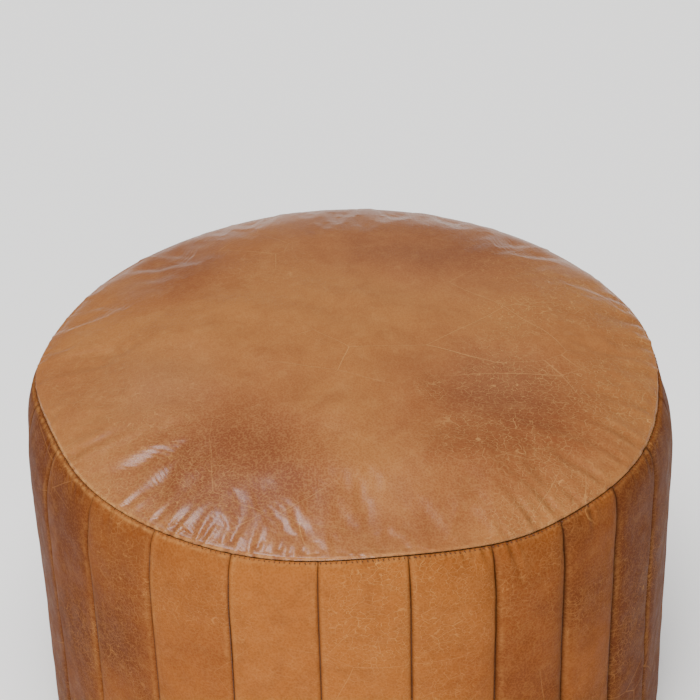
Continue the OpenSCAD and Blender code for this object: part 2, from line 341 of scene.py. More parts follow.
class Shader:
    """A material under construction, with one short method for each kind of node."""

    def __init__(self, name):
        self.material = bpy.data.materials.new(name)
        self.material.use_nodes = True
        self.tree = self.material.node_tree
        self.body = self.tree.nodes["Principled BSDF"]
        self.where = self.add("ShaderNodeTexCoord").outputs["Object"]

    def add(self, kind, settings=None, **inputs):
        node = self.tree.nodes.new(kind)
        for key, value in (settings or {}).items():
            setattr(node, key, value)
        for key, value in inputs.items():
            self.put(node.inputs[key.replace("_", " ")], value)
        return node

    def put(self, socket, value):
        if isinstance(value, bpy.types.NodeSocket):
            self.tree.links.new(value, socket)
        elif isinstance(value, tuple) and len(value) == 3 and socket.type == "RGBA":
            socket.default_value = (*value, 1)
        else:
            socket.default_value = value

    def maths(self, operation, a, b=0.0, c=0.0, clamp=False):
        node = self.add("ShaderNodeMath", {"operation": operation, "use_clamp": clamp})
        for socket, value in zip(node.inputs, (a, b, c)):
            self.put(socket, value)
        return node.outputs[0]

    def times(self, a, b):
        return self.maths("MULTIPLY", a, b)

    def vector_maths(self, operation, a, b):
        node = self.add("ShaderNodeVectorMath", {"operation": operation})
        self.put(node.inputs[0], a)
        self.put(node.inputs["Scale" if operation == "SCALE" else 1], b)
        return node.outputs[0]

    def spread(self, value, low, high, to_low=0.0, to_high=1.0):
        node = self.add("ShaderNodeMapRange", {"interpolation_type": "SMOOTHSTEP"},
                        Value=value, From_Min=low, From_Max=high, To_Min=to_low, To_Max=to_high)
        return node.outputs[0]

    def mix(self, factor, a, b, blend="MIX"):
        node = self.add("ShaderNodeMix", {"data_type": "RGBA", "blend_type": blend})
        self.put(node.inputs[0], factor)
        self.put(node.inputs[6], a)
        self.put(node.inputs[7], b)
        return node.outputs[2]

    def noise(self, scale, detail=2.0, roughness=0.5, distortion=0.0, where=None):
        node = self.add("ShaderNodeTexNoise", Vector=where or self.where, Scale=scale,
                        Detail=detail, Roughness=roughness, Distortion=distortion)
        return node.outputs[0]

    def cells(self, scale, feature="F1", where=None):
        node = self.add("ShaderNodeTexVoronoi", {"feature": feature},
                        Vector=where or self.where, Scale=scale)
        return node.outputs["Distance"]

    def bent(self, amount, scale, where=None):
        """The coordinates, pushed about by noise."""
        push = self.add("ShaderNodeTexNoise", Vector=where or self.where, Scale=scale,
                        Detail=2.0).outputs["Color"]
        push = self.vector_maths("SUBTRACT", push, (0.5, 0.5, 0.5))
        push = self.vector_maths("SCALE", push, amount)
        return self.vector_maths("ADD", where or self.where, push)

    def stretched(self, x, y, z, turn=(0, 0, 0)):
        node = self.add("ShaderNodeMapping", Vector=self.where, Rotation=turn, Scale=(x, y, z))
        return node.outputs[0]

    def attribute(self, name):
        return self.add("ShaderNodeAttribute", {"attribute_name": name}).outputs["Fac"]

    def bump(self, height, distance, strength=1.0, onto=None):
        node = self.add("ShaderNodeBump", Height=height, Distance=distance, Strength=strength)
        if onto is not None:
            self.put(node.inputs["Normal"], onto)
        return node.outputs[0]

    def finish(self, colour, roughness, normal=None, **plain):
        self.put(self.body.inputs["Base Color"], colour)
        self.put(self.body.inputs["Roughness"], roughness)
        if normal is not None:
            self.put(self.body.inputs["Normal"], normal)
        for key, value in plain.items():
            self.body.inputs[key.replace("_", " ")].default_value = value
        return self.material


# Materials -------------------------------------------------------------------------------


def fine_lines(s, scale, width, bend, keep):
    """Thin broken lines, as where waxed leather has been creased: 1 on a line."""
    longer = s.stretched(0.6, 1, 0.9, (0, 0, 0.25))  # the lines run mostly level
    where = s.bent(bend, scale * 0.7, longer)
    edge = s.cells(scale, "DISTANCE_TO_EDGE", where)
    line = s.spread(edge, width * 0.3, width, 1.0, 0.0)
    broken = s.spread(s.noise(scale * 0.45, 3.0), 1 - keep - 0.07, 1 - keep + 0.09)
    return s.times(line, broken)


def leather(name, light, middle, dark, pale, gloss, coat, shine, mottle):
    """Waxed pull-up hide: cloudy colour, pebbled grain, pale crease lines and worn edges, with
    painted shade in its folds and a painted sheen.

    The mesh attributes say where: tone is lighter or darker, from the hide's own colour and
    from painted shade, bloom is greyed by painted sheen, a painted reflection, wear is rubbed
    pale, crease is painted shade in folds and seams, lined is how much of the surface is
    creased, pebbled is how coarse the grain stands out.
    """
    s = Shader(name)
    tone, wear, crease = (s.attribute(a) for a in ("tone", "wear", "crease"))
    lined, pebbled, bloom = (s.attribute(a) for a in ("lined", "pebbled", "bloom"))

    cloud = s.maths("MULTIPLY_ADD", s.noise(11.0, 4.0, 0.6, 0.4), mottle, 0.5 - mottle / 2)
    # lighter or darker where the mesh says: the hide's own colour, and painted shade on the side
    # panels
    cloud = s.maths("MULTIPLY_ADD", tone, 0.3, cloud)
    colour = s.mix(s.spread(cloud, 0.36, 0.66), middle, light)
    colour = s.mix(s.spread(cloud, 0.2, 0.46, 1.0, 0.0), colour, dark)
    patch = s.spread(s.noise(45.0, 4.0, 0.65, 0.4), 0.4, 0.75)
    colour = s.mix(s.times(patch, 0.3), colour, dark)
    dusty = s.spread(s.noise(70.0, 4.0, 0.7), 0.45, 0.75)
    colour = s.mix(s.times(dusty, 0.12), colour, pale)
    # painted sheen: greyed towards a painted reflection of the pale room
    colour = s.mix(s.times(bloom, 0.22), colour, rgb("7c6050"))

    # pebbled grain: darker in the cells and paler where they meet
    grain_where = s.bent(0.001, 300.0)
    grain = s.cells(620.0, "F1", grain_where)
    speck = s.noise(1100.0, 3.0, 0.7)
    rim = s.spread(s.maths("ADD", grain, s.times(speck, 0.35)), 0.55, 0.95)
    middles = s.spread(s.maths("ADD", grain, s.times(speck, 0.5)), 0.35, 0.75, 1.0, 0.0)
    strong = s.spread(pebbled, 0.0, 1.0, 0.16, 0.4)
    colour = s.mix(s.times(middles, strong), colour, dark)
    colour = s.mix(s.times(rim, s.times(strong, 0.4)), colour, pale)

    # crease lines of three sizes, more where the hide has been worked
    big = fine_lines(s, 15.0, 0.0045, 0.01, 0.45)
    fine = fine_lines(s, 105.0, 0.022, 0.004, 0.43)
    hair = fine_lines(s, 320.0, 0.055, 0.0012, 0.58)
    more = s.spread(lined, 0.0, 1.0, 0.1, 1.0)
    lines = s.maths("MAXIMUM", s.times(big, 0.7), s.times(fine, more))
    lines = s.maths("MAXIMUM", lines, s.times(hair, s.times(more, 0.75)))
    colour = s.mix(s.times(lines, 0.6), colour, pale)

    # worn crests, and painted shade in the folds and seams
    rubbed = s.times(wear, s.spread(s.noise(170.0, 4.0, 0.75), 0.3, 0.65))
    colour = s.mix(s.times(rubbed, 0.75), colour, pale)
    colour = s.mix(s.times(crease, 0.8), colour, rgb("32170a"))

    roughness = s.spread(s.noise(60.0, 3.0, 0.6), 0.3, 0.7, gloss - 0.06, gloss + 0.1)
    roughness = s.maths("MULTIPLY_ADD", lines, 0.12, roughness)
    roughness = s.maths("MULTIPLY_ADD", rubbed, 0.1, roughness, clamp=True)

    height = s.maths("SUBTRACT", s.times(grain, -0.7), s.times(speck, 0.3))
    normal = s.bump(s.noise(130.0, 3.0, 0.55, 0.5), 0.0006, 0.5)
    normal = s.bump(height, 0.0004, 0.6, normal)
    normal = s.bump(s.times(lines, -1.0), 0.0004, 0.8, normal)
    return s.finish(colour, roughness, normal, Coat_Weight=coat, Coat_Roughness=0.27,
                    Specular_IOR_Level=shine)


def thread_material():
    """Dark waxed thread, paler along its twist."""
    s = Shader("waxed_thread")
    twist = s.noise(900.0, 2.0, 0.5, where=s.stretched(1, 1, 3, (0.6, 0.4, 0)))
    colour = s.mix(s.spread(twist, 0.3, 0.7), rgb("2e170c"), rgb("5f3822"))
    return s.finish(colour, s.spread(twist, 0.3, 0.7, 0.45, 0.7), s.bump(twist, 0.0002))


def backdrop_material():
    """A pale floor, all but plain."""
    s = Shader("pale_floor")
    cloud = s.noise(1.5, 2.0)
    return s.finish(s.mix(cloud, rgb("f4f3f1"), rgb("f8f7f6")), 0.9)


def fabric_material(name, dark, light, scale):
    """Pressed fibres: fine strands that cross at every angle."""
    s = Shader(name)
    strands = s.maths("MINIMUM",
                      s.noise(scale, 3.0, 0.6, 1.5, s.stretched(1, 6, 1, (0, 0, 0.5))),
                      s.noise(scale, 3.0, 0.6, 1.5, s.stretched(6, 1, 1, (0, 0, -0.4))))
    colour = s.mix(s.spread(strands, 0.3, 0.6), dark, light)
    return s.finish(colour, 0.9, s.bump(strands, 0.0006))


def foam_material(name, dark, light):
    """Open-cell foam: small pores in a yellowed block, darkened with painted shade."""
    s = Shader(name)
    pores = s.cells(900.0, "F1")
    cloud = s.noise(18.0, 3.0)
    colour = s.mix(s.spread(cloud, 0.3, 0.7), dark, light)
    # painted shade in the pores
    colour = s.mix(s.spread(pores, 0.2, 0.6, 0.35, 0.0), colour, rgb("8a7431"))
    return s.finish(colour, 0.95, s.bump(pores, 0.0006))


def wood_material(name, light, dark, along, plies=0.0):
    """Bare wood with its grain along one axis, and ply lines on edges if it is plywood."""
    s = Shader(name)
    scale = [9.0, 9.0, 9.0]
    scale[along] = 0.7
    fibre = s.noise(14.0, 5.0, 0.65, 1.2, s.stretched(*scale))
    ring = s.noise(3.0, 3.0, 0.5, 2.0, s.stretched(*scale))
    colour = s.mix(s.spread(ring, 0.35, 0.65), light, dark)
    colour = s.mix(s.spread(fibre, 0.4, 0.75, 0.0, 0.45), colour, dark)
    if plies:
        split = s.add("ShaderNodeSeparateXYZ", Vector=s.where).outputs
        faces = s.add("ShaderNodeSeparateXYZ",
                      Vector=s.add("ShaderNodeNewGeometry").outputs["Normal"]).outputs
        band = s.maths("PINGPONG", split["Z"], plies)
        edge = s.spread(s.maths("ABSOLUTE", faces["Z"]), 0.3, 0.6, 1.0, 0.0)
        line = s.times(edge, s.spread(band, plies * 0.35, plies * 0.65))
        colour = s.mix(s.times(line, 0.6), colour, rgb("6f4c2a"))
    return s.finish(colour, s.spread(fibre, 0.3, 0.7, 0.55, 0.8), s.bump(fibre, 0.0004))


def metal_material(name, colour, rough):
    """Plated steel or wire, with faint drawn streaks and duller patches."""
    s = Shader(name)
    streak = s.noise(400.0, 3.0, 0.6, 0.0, s.stretched(1, 1, 0.15))
    tint = s.mix(s.spread(s.noise(90.0, 3.0), 0.35, 0.7), colour, rgb("8f9296"))
    roughness = s.spread(streak, 0.3, 0.7, rough - 0.08, rough + 0.12)
    return s.finish(tint, roughness, s.bump(streak, 0.0001), Metallic=1.0)


def plastic_material(name, dark, light):
    """Moulded plastic with a fine texture and scuffs."""
    s = Shader(name)
    speckle = s.noise(700.0, 3.0, 0.6)
    scuffs = s.spread(s.noise(60.0, 4.0, 0.7, 1.0), 0.55, 0.75)
    colour = s.mix(s.times(scuffs, 0.5), dark, light)
    roughness = s.spread(speckle, 0.3, 0.7, 0.4, 0.6)
    return s.finish(colour, roughness, s.bump(speckle, 0.0002))


CROWN_LEATHER = leather("crown_leather_hide", rgb("966033"), rgb("87512c"), rgb("713d20"),
                        rgb("bd8c55"), 0.5, 0.42, 0.12, 0.5)
PANEL_LEATHER = leather("panel_leather_hide", rgb("8b5122"), rgb("7b431b"), rgb("592b11"),
                        rgb("b07c46"), 0.6, 0.0, 0.05, 0.28)
THREAD = thread_material()
WADDING = fabric_material("fibre_wadding", rgb("dedad0"), rgb("f3f1ea"), 260.0)
DUST_CLOTH = fabric_material("nonwoven_cloth", rgb("141414"), rgb("2b2b2c"), 420.0)
SEAT_FOAM = foam_material("seat_foam_pores", rgb("cdb45a"), rgb("e2cf80"))
SIDE_FOAM = foam_material("side_foam_pores", rgb("c9ae52"), rgb("dcc878"))
PLYWOOD = wood_material("birch_plywood", rgb("d9b47c"), rgb("b98a52"), 0, plies=1.5 * MM)
BENT_PLYWOOD = wood_material("bent_plywood_wall", rgb("c89b62"), rgb("a2723f"), 2, plies=1.0 * MM)
SOFTWOOD = wood_material("pine", rgb("e2bd84"), rgb("bf8c50"), 2)
ZINC_STEEL = metal_material("zinc_steel", rgb("c3c6c9"), 0.35)
STAPLE_WIRE = metal_material("staple_wire", rgb("b0b2b4"), 0.3)
GLIDE_PLASTIC = plastic_material("glide_plastic", rgb("1d1a18"), rgb("3a3531"))


# Camera, floor and light -----------------------------------------------------------------


def add_camera():
    """Above the front, looking down, with the pouf's lower part out of the picture."""
    pitch, roll = math.radians(34.3), math.radians(-1.6)
    distance = 7.43 * WALL_R
    aside, above = 0.0045 * WALL_R, 0.0584 * WALL_R  # from the crown's middle
    ahead = Vector((0, math.cos(pitch), -math.sin(pitch)))
    up = Vector((0, math.sin(pitch), math.cos(pitch)))
    right = Vector((1, 0, 0))
    camera = bpy.data.objects.new("camera", bpy.data.cameras.new("camera"))
    camera.data.sensor_width = 36
    camera.data.lens = 124.3
    camera.data.clip_end = 50
    middle = Vector((0, 0, SEAM_Z))
    place = middle - ahead * distance + right * aside + up * above
    frame_axes = Matrix((right, up, -ahead)).transposed().to_4x4()
    camera.matrix_world = Matrix.Translation(place) @ frame_axes @ Matrix.Rotation(roll, 4, "Z")
    bpy.context.collection.objects.link(camera)
    bpy.context.scene.camera = camera


def add_light(name, place, target, size, power, colour, sheen_only=False):
    """A soft rectangle of light, which may show in reflections only."""
    data = bpy.data.lights.new(name, "AREA")
    data.shape = "RECTANGLE"
    data.size, data.size_y = size
    data.energy = power
    data.color = colour
    light = bpy.data.objects.new(name, data)
    light.location = place
    light.rotation_euler = (Vector(target) - Vector(place)).to_track_quat("-Z", "Y").to_euler()
    light.visible_camera = False
    light.visible_diffuse = not sheen_only
    bpy.context.collection.objects.link(light)


def add_studio():
    """A pale floor, a soft overhead light, and two soft lights in front and to the left."""
    half = 8.0  # of the floor's side
    points = [(-half, -half, 0), (half, -half, 0), (half, half, 0), (-half, half, 0)]
    mesh = bpy.data.meshes.new("floor")
    mesh.from_pydata(points, [], [(0, 1, 2, 3)])
    mesh.materials.append(backdrop_material())
    floor = bpy.data.objects.new("floor", mesh)
    bpy.context.collection.objects.link(floor)

    world = bpy.data.worlds.new("studio")
    world.use_nodes = True
    world.node_tree.nodes["Background"].inputs["Color"].default_value = (0.93, 0.96, 1, 1)
    world.node_tree.nodes["Background"].inputs["Strength"].default_value = 0.15
    bpy.context.scene.world = world

    sky = bpy.data.lights.new("overhead", "SUN")
    sky.energy = 5.4
    sky.angle = math.radians(50)
    overhead = bpy.data.objects.new("overhead", sky)
    overhead.rotation_euler = (math.radians(12), math.radians(-6), 0)
    overhead.visible_glossy = False  # as through a diffuser, it makes no highlights
    bpy.context.collection.objects.link(overhead)

    middle = (0, 0, SEAM_Z)
    wall_middle = (0, 0, 0.24)
    warm, cool = (1, 0.98, 0.95), (0.8, 0.88, 1)
    add_light("front", (-0.13, -0.98, 0.34), wall_middle, (0.4, 0.4), 5.4, warm)
    add_light("window", (-0.5, -0.13, 1.65), middle, (0.65, 0.4), 17, cool, sheen_only=True)


# Cloth simulation ------------------------------------------------------------------------


def weigh(piece, name, weights):
    """A vertex group with one weight for each point."""
    group = piece.vertex_groups.new(name=name)
    for step in range(21):
        members = np.nonzero(np.round(weights * 20) == step)[0]
        group.add([int(m) for m in members], step / 20, "REPLACE")
    return group.name


def inflate(points, faces, pinned, fullness, extra, pressure):
    """Stretches leather over air: a sheet pinned where it is sewn, with extra cloth where it is
    gathered, pressed outward for 20 frames. Gives where its points end up."""
    mesh = bpy.data.meshes.new("simulated")
    mesh.from_pydata([tuple(p) for p in points], [], [tuple(f) for f in faces])
    piece = bpy.data.objects.new("simulated", mesh)
    bpy.context.collection.objects.link(piece)
    cloth = piece.modifiers.new("cloth", "CLOTH")
    settings = cloth.settings
    settings.quality = 6
    settings.mass = 0.4
    settings.air_damping = 3
    settings.tension_stiffness = settings.compression_stiffness = 40
    settings.shear_stiffness = 15
    settings.bending_stiffness = 0.6
    settings.effector_weights.gravity = 0
    settings.use_pressure = True
    settings.uniform_pressure_force = pressure
    settings.vertex_group_mass = weigh(piece, "pinned", pinned)
    settings.vertex_group_shrink = weigh(piece, "gathered", fullness)
    settings.shrink_min = 0
    settings.shrink_max = -extra
    cloth.collision_settings.use_collision = False
    scene = bpy.context.scene
    cloth.point_cache.frame_start, cloth.point_cache.frame_end = 1, 20
    for step in range(1, 21):
        scene.frame_set(step)
    done = piece.evaluated_get(bpy.context.evaluated_depsgraph_get())
    ends = np.zeros(len(points) * 3)
    done.data.vertices.foreach_get("co", ends)
    scene.frame_set(1)
    bpy.data.objects.remove(piece)
    bpy.data.meshes.remove(mesh)
    return ends.reshape(-1, 3)


def between(coarse, fine):
    """The weights that take values at rising places to a finer set of places."""
    spot = np.interp(fine, coarse, np.arange(len(coarse)))
    low = np.clip(spot.astype(int), 0, len(coarse) - 2)
    weights = np.zeros((len(fine), len(coarse)))
    weights[np.arange(len(fine)), low] = 1 - (spot - low)
    weights[np.arange(len(fine)), low + 1] = spot - low
    return weights


# The crown -------------------------------------------------------------------------------

CROWN_RINGS = 150  # from the middle to the seam
TURNED_RINGS = 3  # beyond the seam, turned in
SIM_RINGS = 50
ROLL_OUT, ROLL_UP = math.cos(math.radians(15)), math.sin(math.radians(15))


def dome(share, angle):
    """Points on the plain dome and their outward normals, at a share of the way to the seam."""
    share = share + 0.12 * share * (1 - share)  # closer together by the seam
    swing = share * np.pi / 2
    radius, height = SEAM_R * np.sin(swing), DOME_RISE * np.cos(swing)
    outward = polar(np.sin(swing) / SEAM_R, angle, np.cos(swing) / DOME_RISE)
    outward /= np.linalg.norm(outward, axis=1, keepdims=True)
    return polar(radius, angle, height), outward, np.hypot(SEAM_R - radius, height)


def simulated_crown():
    """How far the crown's leather ends up from the dome, on a square grid of rings."""
    side = 2 * SIM_RINGS + 1
    ring, angle, faces = disc_grid(SIM_RINGS)
    flat, outward, distance = dome(ring / SIM_RINGS, angle)
    start = flat - outward * (1.5 * MM * smooth(distance, 0, 60 * MM))[:, None]
    gathered = 0.03 + 0.24 * bump_at(angle, FRONT - 28, 18) + 0.3 * bump_at(angle, FRONT + 58, 32)
    fullness = (1 - smooth(distance, 25 * MM, 70 * MM)) * gathered
    fullness *= 0.75 + 0.25 * np.sign(ripples(start, 0.03, 5))
    ends = inflate(start, faces, (ring == SIM_RINGS).astype(float), fullness, 0.05, 3.0)
    moved = np.sum((ends - flat) * outward, axis=1)
    return np.clip(moved, -3.5 * MM, 4 * MM).reshape(side, side)


def crown_push(flat, angle, distance, settled):
    """How far the crown's face stands out from the dome, and how deep its puckers are."""
    puckers = CROWN_PUCKERS + scattered_puckers(80, 4, (6, 15), (1.4, 2.6), (0.2, 0.7))
    pinch = pucker_depth(angle, distance, puckers, SEAM_R)
    pinch *= 1 - 0.5 * smooth(flat[:, 1], 0.06, 0.16)
    sag = MM * (1.3 * ripples(flat, 0.16, 11) + 0.5 * ripples(flat, 0.06, 12))
    sag *= smooth(distance, 0, 60 * MM) * (1 - 0.6 * smooth(flat[:, 1], 0.08, 0.2))
    rolled = 0.9 * MM * np.exp(-distance / (1.6 * MM)) * seam_grip(angle)
    push = settled + sag - pinch - rolled
    return np.maximum(push, -0.35 * distance - 0.9 * MM), pinch


def crown_shift(share, angle, distance):
    """Carries the dome to its seat: its rim to where the seam runs, its edge out over it."""
    reach = smooth(share, 0.6, 1.0)
    roll = overhang(angle) * smooth(distance, 0, 4 * MM) * (1 - smooth(distance, 6 * MM, 40 * MM))
    out = (seam_out(angle) + lean_in(angle)) * reach + roll * ROLL_OUT
    return polar(out, angle, SEAM_Z + seam_lift(angle) * reach + roll * ROLL_UP)


def crown_piece():
    """The crown, from its middle to its turned-in edge. Gives how far its face is pushed out."""
    rings = CROWN_RINGS + TURNED_RINGS
    ring, angle, faces = disc_grid(rings)
    share = np.clip(ring / CROWN_RINGS, 0, 1)
    flat, outward, distance = dome(share, angle)
    radius = np.hypot(flat[:, 0], flat[:, 1])

    places = np.clip(np.arange(-rings, rings + 1) / CROWN_RINGS, -1, 1)
    weights = between(np.linspace(-1, 1, 2 * SIM_RINGS + 1), places)
    settled = (weights @ simulated_crown() @ weights.T).ravel()
    push, pinch = crown_push(flat, angle, distance, settled)

    points = flat + outward * push[:, None] + crown_shift(share, angle, distance)
    turned = ring > CROWN_RINGS
    inward = (ring[turned] - CROWN_RINGS) / TURNED_RINGS
    edge_r = SEAM_R + seam_out(angle[turned]) + lean_in(angle[turned]) - LEATHER * 0.6
    points[turned] = polar(edge_r - CROWN_ALLOWANCE * inward, angle[turned],
                           SEAM_Z + seam_lift(angle[turned]) + (0.1 - 2.5 * inward) * MM)

    front_turn = turn_between(angle, FRONT)
    lined = (
        smooth(front_turn, 5, 40) * (1 - smooth(front_turn, 110, 150))
        * smooth(radius, 0.06, 0.14) * (0.75 + 0.25 * ripples(flat, 0.09, 21))
    )
    lined += 0.8 * bump_at(angle, FRONT - 42, 26) * smooth(radius, 0.14, 0.2)
    wear = np.exp(-((distance - 1.5 * MM) / (1.8 * MM)) ** 2)
    # painted shade: darker in the pucker valleys and along the fold of the seam
    crease = np.clip(pinch / (9 * MM), 0, 0.12)
    crease += seam_shade(angle) * np.exp(-distance / (0.4 * MM))
    piece = make_piece("crown", points, faces, CROWN_LEATHER, {
        "tone": 0.22 * ripples(flat, 0.22, 31) + blots(flat, CROWN_TONES),
        "bloom": np.clip(blots(flat, CROWN_PAINTED_SHEEN), 0, 1),
        "wear": np.clip(wear * worn_rim(angle) - pinch / MM * 0.35, 0, 1),
        "crease": np.clip(crease, 0, 1),
        "lined": np.clip(lined + 0.35 * (ripples(flat, 0.2, 22) > 1.0), 0, 1),
        "pebbled": np.clip(blots(flat, CROWN_PEBBLES) + 0.4 * smooth(-flat[:, 1], 0, 0.2), 0, 1),
    })
    thicken(piece, LEATHER)
    stand_in("crown_leather")
    face = slice(TURNED_RINGS, -TURNED_RINGS)
    return push.reshape(2 * rings + 1, -1)[face, face]


def seat_layers(crown):
    """The fibre wadding under the crown, and the foam under that, each a closed layer."""
    rings = 60
    reach = 0.965  # how far out the layers go under the crown
    ring, angle, faces = disc_grid(rings)
    share = ring / rings * reach
    flat, outward, distance = dome(share, angle)
    weights = between(np.linspace(-1, 1, len(crown)), np.linspace(-reach, reach, 2 * rings + 1))
    push = (weights @ crown @ weights.T).ravel()
    top = flat + outward * (push - LEATHER - 0.4 * MM)[:, None]
    top += crown_shift(share, angle, distance)

    foam_low, foam_high = (np.array(c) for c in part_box("seat_foam"))
    radius = np.hypot(flat[:, 0], flat[:, 1])
    foam_share = radius / radius.max()
    foam_r = foam_share * FOAM_R
    rise = foam_high[2] - FOAM_RIM_Z
    foam_z = FOAM_RIM_Z + rise * np.sqrt(np.clip(1 - foam_share ** 2, 0, 1))
    crown_z = np.interp(foam_r, np.sort(radius), np.sort(flat[:, 2])[::-1])
    drop = top[:, 2] - flat[:, 2] - SEAM_Z + 2 * MM
    foam_z = np.minimum(foam_z, SEAM_Z + crown_z + drop - 4 * MM) - 0.2 * MM
    cut = 0.25 * MM * ripples(flat, 0.03, 82)  # a hand-carved surface
    foam_top = polar(foam_r, angle, foam_z - np.abs(cut))
    under = polar(foam_r * 1.002, angle, foam_z + 0.4 * MM)
    fluff = 0.3 * MM * ripples(top, 0.016, 81) * (1 - smooth(foam_share, 0.9, 1))
    top[:, 2] -= np.abs(fluff)

    wadding = closed_layer("wadding", top, faces, [], under, WADDING)
    stand_in("seat_wadding")

    notch_z = SEAM_Z - LEATHER - 0.5 * MM
    bands = [
        lambda rim, r=r, z=z: polar(r + lean_in(angle[rim]) - hollow(angle[rim]), angle[rim],
                                    np.full(len(rim), z))
        for r, z in ((FOAM_R, notch_z - 4 * MM), (foam_high[0], notch_z - 4 * MM),
                     (foam_high[0], foam_low[2]))
    ]
    bottom = polar(foam_r * 0.98, angle, np.full(len(foam_r), foam_low[2]))
    foam = closed_layer("seat_padding", foam_top, faces, bands, bottom, SEAT_FOAM)
    stand_in("seat_foam")


# The side panels -------------------------------------------------------------------------


def side_profile():
    """Radius, height, outward normal and distance from the crown seam, from there down."""
    top_z = SEAM_Z - 0.1 * MM
    shoulder_z = top_z - SHOULDER
    swing = np.radians(np.concatenate([np.linspace(90, 60, 26)[:-1], np.linspace(60, 0, 17)]))
    shoulder = np.stack([SEAM_R + SEAM_INSET * np.cos(swing),
                         shoulder_z + SHOULDER * np.sin(swing)], 1)
    corner_z = HEM_Z + HEM_CORNER
    wall_z = np.linspace(shoulder_z, corner_z, 34)[1:]
    wall = np.stack([np.full(len(wall_z), WALL_R), wall_z], 1)
    swing = np.radians(np.linspace(0, -90, 9)[1:])
    corner = np.stack([WALL_R - HEM_CORNER + HEM_CORNER * np.cos(swing),
                       corner_z + HEM_CORNER * np.sin(swing)], 1)
    hem_r = np.linspace(WALL_R - HEM_CORNER, WALL_R - HEM_WIDTH, 8)[1:]
    hem = np.stack([hem_r, np.full(len(hem_r), HEM_Z)], 1)
    line = np.concatenate([shoulder, wall, corner, hem])
    along = np.concatenate([[0], np.cumsum(np.linalg.norm(np.diff(line, axis=0), axis=1))])
    slope = np.gradient(line, along, axis=0)
    normal = np.stack([-slope[:, 1], slope[:, 0]], 1)
    normal /= np.linalg.norm(normal, axis=1, keepdims=True)
    return line, normal, along


def panel_width(k):
    """How wide panel k is on the wall, between its seams."""
    return math.radians(seam_angle(k + 1) - seam_angle(k)) * WALL_R - 2 * HALF_GAP


def panel_grid(k, across, profile, rows=None):
    """Places on a panel at distances across it: points, normals, angles, and both distances."""
    line, normal, along = profile
    rows = np.arange(len(along)) if rows is None else rows
    x, v = np.meshgrid(across, along[rows])
    angle = seam_angle(k) + np.degrees((x + HALF_GAP) / WALL_R)
    columns = len(across)
    points = polar(np.repeat(line[rows, 0], columns), angle.ravel(),
                   np.repeat(line[rows, 1], columns))
    away = polar(np.repeat(normal[rows, 0], columns), angle.ravel(),
                 np.repeat(normal[rows, 1], columns))
    return points, away, angle.ravel(), x.ravel(), v.ravel()


def shoulder_shift(v, angle):
    """Carries the top of the panels to where the crown seam runs."""
    out = seam_out(angle) * (1 - smooth(v, 0, 55 * MM))
    out += lean_in(angle) * (1 - smooth(v, 0, 90 * MM))
    return polar(out, angle, seam_lift(angle) * (1 - smooth(v, 10 * MM, 150 * MM)))


def simulated_panels(profile):
    """How far each panel's leather ends up from the plain wall, at even shares across it."""
    share = np.linspace(0, 1, SIM_COLUMNS)
    rows = SIM_ROWS
    points, faces, away, pinned, fullness = [], [], [], [], []
    for k in range(1, PANELS + 1):
        place, out, angle, x, v = panel_grid(k, share * panel_width(k), profile, rows)
        edge = (x < 1e-6) | (x > panel_width(k) - 1e-6) | (v < 1e-6) | (v > v.max() - 1e-6)
        faces.append(grid_faces(len(rows), SIM_COLUMNS, len(place) * (k - 1)))
        points.append(place)
        away.append(out)
        pinned.append(edge.astype(float))
        fullness.append(1 - smooth(v, 10 * MM, 60 * MM) * 0.75)
    points, away = np.concatenate(points), np.concatenate(away)
    start = points - away * 0.2 * MM * (1 - np.concatenate(pinned))[:, None]
    ends = inflate(start, np.concatenate(faces), np.concatenate(pinned),
                   np.concatenate(fullness), 0.02, 2.0)
    moved = np.sum((ends - points) * away, axis=1)
    return np.clip(moved, -1.0 * MM, 3.0 * MM).reshape(PANELS, len(rows), SIM_COLUMNS)


def seam_depth(k):
    """How deep a panel seam is drawn in: deepest on the right of the front."""
    place = seam_angle(k)
    return MM * (2.2 + 3.8 * float(bump_at(place, FRONT + 40, 26)) + 0.3 * math.sin(5.1 * k))


def seam_spread(k):
    """How far a seam's crease reaches to either side: widest on the left and right."""
    place = seam_angle(k)
    right, left = bump_at(place, FRONT + 42, 24), bump_at(place, FRONT - 52, 22)
    return MM * (1.5 + 2.6 * float(right) + 1.4 * float(left))


def panel_seam_shade(k):
    """How much painted shade lies at the bottom of a panel seam: little on the left, where it is no
    more than a soft fold.
    """
    return 0.8 - 0.5 * float(bump_at(seam_angle(k), FRONT - 52, 22))


